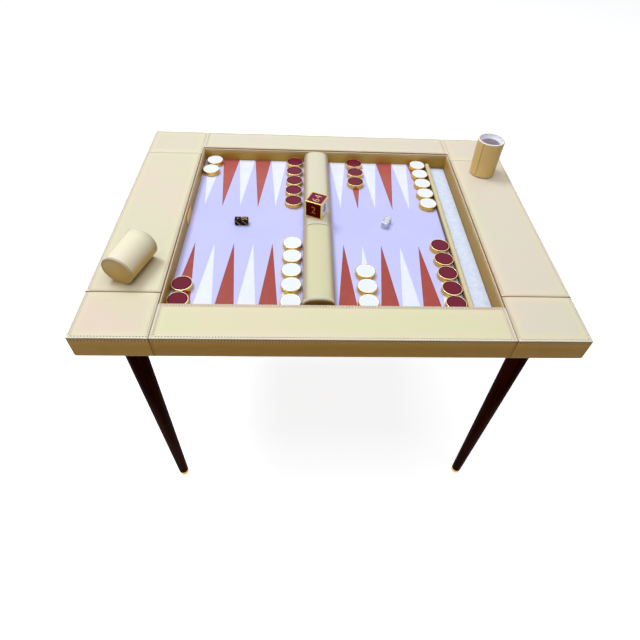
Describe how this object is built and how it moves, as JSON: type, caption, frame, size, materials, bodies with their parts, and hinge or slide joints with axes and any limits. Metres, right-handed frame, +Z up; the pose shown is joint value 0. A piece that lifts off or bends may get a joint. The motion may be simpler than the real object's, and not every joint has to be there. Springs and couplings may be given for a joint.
{
  "type": "tric trac table",
  "caption": "Leather-covered games table on tapered round legs, with a sunken backgammon field, lift-out centre bar, bear-off tray and loose checkers, dice, dice cups and doubling cube.",
  "frame": {"origin": "on the floor under the middle of the table", "axes": "+X along the long side to the right, +Y from the front of the table to its back, +Z up"},
  "size_m": [1, 0.792, 0.8573],
  "materials": {
    "ivory_leather": "fine-grained ivory hide over a wooden core, stitched along the edges",
    "lilac_leather": "smooth lilac-grey hide with inlaid points",
    "grey_felt": "short felt",
    "birch_board": "plain board",
    "walnut": "dark stained, satin lacquer",
    "brass": "polished",
    "white_checker": "polished brass body with a white enamel face",
    "maroon_checker": "polished brass body with a maroon enamel face",
    "black_resin": "gloss, gilt pips",
    "white_resin": "gloss, gilt pips",
    "maroon_resin": "gloss faces in gilt edges"
  },
  "bodies": {
    "table": {"front_panel": "ivory_leather", "back_panel": "ivory_leather", "left_panel": "ivory_leather", "right_panel": "ivory_leather", "corner_front_left": "ivory_leather", "corner_front_right": "ivory_leather", "corner_back_left": "ivory_leather", "corner_back_right": "ivory_leather", "recess_liner": "ivory_leather", "bottom_board": "birch_board", "playing_field": "lilac_leather", "tray_divider": "ivory_leather", "tray_felt": "grey_felt", "leg_front_left": "walnut", "leg_front_right": "walnut", "leg_back_left": "walnut", "leg_back_right": "walnut", "ferrule_front_left": "brass", "ferrule_front_right": "brass", "ferrule_back_left": "brass", "ferrule_back_right": "brass"},
    "bar_front": {"bar_front": "ivory_leather"},
    "bar_back": {"bar_back": "ivory_leather"},
    "checker_white_01": {"checker_white_01": "white_checker"},
    "checker_white_02": {"checker_white_02": "white_checker"},
    "checker_white_03": {"checker_white_03": "white_checker"},
    "checker_white_04": {"checker_white_04": "white_checker"},
    "checker_white_05": {"checker_white_05": "white_checker"},
    "checker_white_06": {"checker_white_06": "white_checker"},
    "checker_white_07": {"checker_white_07": "white_checker"},
    "checker_white_08": {"checker_white_08": "white_checker"},
    "checker_white_09": {"checker_white_09": "white_checker"},
    "checker_white_10": {"checker_white_10": "white_checker"},
    "checker_white_11": {"checker_white_11": "white_checker"},
    "checker_white_12": {"checker_white_12": "white_checker"},
    "checker_white_13": {"checker_white_13": "white_checker"},
    "checker_white_14": {"checker_white_14": "white_checker"},
    "checker_white_15": {"checker_white_15": "white_checker"},
    "checker_maroon_01": {"checker_maroon_01": "maroon_checker"},
    "checker_maroon_02": {"checker_maroon_02": "maroon_checker"},
    "checker_maroon_03": {"checker_maroon_03": "maroon_checker"},
    "checker_maroon_04": {"checker_maroon_04": "maroon_checker"},
    "checker_maroon_05": {"checker_maroon_05": "maroon_checker"},
    "checker_maroon_06": {"checker_maroon_06": "maroon_checker"},
    "checker_maroon_07": {"checker_maroon_07": "maroon_checker"},
    "checker_maroon_08": {"checker_maroon_08": "maroon_checker"},
    "checker_maroon_09": {"checker_maroon_09": "maroon_checker"},
    "checker_maroon_10": {"checker_maroon_10": "maroon_checker"},
    "checker_maroon_11": {"checker_maroon_11": "maroon_checker"},
    "checker_maroon_12": {"checker_maroon_12": "maroon_checker"},
    "checker_maroon_13": {"checker_maroon_13": "maroon_checker"},
    "checker_maroon_14": {"checker_maroon_14": "maroon_checker"},
    "checker_maroon_15": {"checker_maroon_15": "maroon_checker"},
    "die_black_1": {"die_black_1": "black_resin"},
    "die_black_2": {"die_black_2": "black_resin"},
    "die_white_1": {"die_white_1": "white_resin"},
    "die_white_2": {"die_white_2": "white_resin"},
    "doubling_cube": {"doubling_cube": "maroon_resin"},
    "dice_cup_standing": {"dice_cup_standing": "ivory_leather"},
    "dice_cup_lying": {"dice_cup_lying": "ivory_leather"}
  },
  "joints": [
    {"name": "bar_front_lift", "type": "slide", "parent": "table", "child": "bar_front", "axis": [0, 0, 1], "range_m": [0, 0.06]},
    {"name": "bar_back_lift", "type": "slide", "parent": "table", "child": "bar_back", "axis": [0, 0, 1], "range_m": [0, 0.06]},
    {"name": "doubling_cube_lift", "type": "slide", "parent": "bar_back", "child": "doubling_cube", "axis": [0, 0, 1], "range_m": [0, 0.06]},
    {"name": "dice_cup_standing_lift", "type": "slide", "parent": "table", "child": "dice_cup_standing", "axis": [0, 0, 1], "range_m": [0, 0.08]},
    {"name": "dice_cup_lying_lift", "type": "slide", "parent": "table", "child": "dice_cup_lying", "axis": [0, 0, 1], "range_m": [0, 0.08]},
    {"name": "die_black_1_lift", "type": "slide", "parent": "table", "child": "die_black_1", "axis": [0, 0, 1], "range_m": [0, 0.06]},
    {"name": "die_black_2_lift", "type": "slide", "parent": "table", "child": "die_black_2", "axis": [0, 0, 1], "range_m": [0, 0.06]},
    {"name": "die_white_1_lift", "type": "slide", "parent": "table", "child": "die_white_1", "axis": [0, 0, 1], "range_m": [0, 0.06]},
    {"name": "die_white_2_lift", "type": "slide", "parent": "table", "child": "die_white_2", "axis": [0, 0, 1], "range_m": [0, 0.06]},
    {"name": "checker_white_01_lift", "type": "slide", "parent": "table", "child": "checker_white_01", "axis": [0, 0, 1], "range_m": [0, 0.06]},
    {"name": "checker_white_02_lift", "type": "slide", "parent": "table", "child": "checker_white_02", "axis": [0, 0, 1], "range_m": [0, 0.06]},
    {"name": "checker_white_03_lift", "type": "slide", "parent": "table", "child": "checker_white_03", "axis": [0, 0, 1], "range_m": [0, 0.06]},
    {"name": "checker_white_04_lift", "type": "slide", "parent": "table", "child": "checker_white_04", "axis": [0, 0, 1], "range_m": [0, 0.06]},
    {"name": "checker_white_05_lift", "type": "slide", "parent": "table", "child": "checker_white_05", "axis": [0, 0, 1], "range_m": [0, 0.06]},
    {"name": "checker_white_06_lift", "type": "slide", "parent": "table", "child": "checker_white_06", "axis": [0, 0, 1], "range_m": [0, 0.06]},
    {"name": "checker_white_07_lift", "type": "slide", "parent": "table", "child": "checker_white_07", "axis": [0, 0, 1], "range_m": [0, 0.06]},
    {"name": "checker_white_08_lift", "type": "slide", "parent": "table", "child": "checker_white_08", "axis": [0, 0, 1], "range_m": [0, 0.06]},
    {"name": "checker_white_09_lift", "type": "slide", "parent": "table", "child": "checker_white_09", "axis": [0, 0, 1], "range_m": [0, 0.06]},
    {"name": "checker_white_10_lift", "type": "slide", "parent": "table", "child": "checker_white_10", "axis": [0, 0, 1], "range_m": [0, 0.06]},
    {"name": "checker_white_11_lift", "type": "slide", "parent": "table", "child": "checker_white_11", "axis": [0, 0, 1], "range_m": [0, 0.06]},
    {"name": "checker_white_12_lift", "type": "slide", "parent": "table", "child": "checker_white_12", "axis": [0, 0, 1], "range_m": [0, 0.06]},
    {"name": "checker_white_13_lift", "type": "slide", "parent": "table", "child": "checker_white_13", "axis": [0, 0, 1], "range_m": [0, 0.06]},
    {"name": "checker_white_14_lift", "type": "slide", "parent": "table", "child": "checker_white_14", "axis": [0, 0, 1], "range_m": [0, 0.06]},
    {"name": "checker_white_15_lift", "type": "slide", "parent": "table", "child": "checker_white_15", "axis": [0, 0, 1], "range_m": [0, 0.06]},
    {"name": "checker_maroon_01_lift", "type": "slide", "parent": "table", "child": "checker_maroon_01", "axis": [0, 0, 1], "range_m": [0, 0.06]},
    {"name": "checker_maroon_02_lift", "type": "slide", "parent": "table", "child": "checker_maroon_02", "axis": [0, 0, 1], "range_m": [0, 0.06]},
    {"name": "checker_maroon_03_lift", "type": "slide", "parent": "table", "child": "checker_maroon_03", "axis": [0, 0, 1], "range_m": [0, 0.06]},
    {"name": "checker_maroon_04_lift", "type": "slide", "parent": "table", "child": "checker_maroon_04", "axis": [0, 0, 1], "range_m": [0, 0.06]},
    {"name": "checker_maroon_05_lift", "type": "slide", "parent": "table", "child": "checker_maroon_05", "axis": [0, 0, 1], "range_m": [0, 0.06]},
    {"name": "checker_maroon_06_lift", "type": "slide", "parent": "table", "child": "checker_maroon_06", "axis": [0, 0, 1], "range_m": [0, 0.06]},
    {"name": "checker_maroon_07_lift", "type": "slide", "parent": "table", "child": "checker_maroon_07", "axis": [0, 0, 1], "range_m": [0, 0.06]},
    {"name": "checker_maroon_08_lift", "type": "slide", "parent": "table", "child": "checker_maroon_08", "axis": [0, 0, 1], "range_m": [0, 0.06]},
    {"name": "checker_maroon_09_lift", "type": "slide", "parent": "table", "child": "checker_maroon_09", "axis": [0, 0, 1], "range_m": [0, 0.06]},
    {"name": "checker_maroon_10_lift", "type": "slide", "parent": "table", "child": "checker_maroon_10", "axis": [0, 0, 1], "range_m": [0, 0.06]},
    {"name": "checker_maroon_11_lift", "type": "slide", "parent": "table", "child": "checker_maroon_11", "axis": [0, 0, 1], "range_m": [0, 0.06]},
    {"name": "checker_maroon_12_lift", "type": "slide", "parent": "table", "child": "checker_maroon_12", "axis": [0, 0, 1], "range_m": [0, 0.06]},
    {"name": "checker_maroon_13_lift", "type": "slide", "parent": "table", "child": "checker_maroon_13", "axis": [0, 0, 1], "range_m": [0, 0.06]},
    {"name": "checker_maroon_14_lift", "type": "slide", "parent": "table", "child": "checker_maroon_14", "axis": [0, 0, 1], "range_m": [0, 0.06]},
    {"name": "checker_maroon_15_lift", "type": "slide", "parent": "table", "child": "checker_maroon_15", "axis": [0, 0, 1], "range_m": [0, 0.06]}
  ]
}
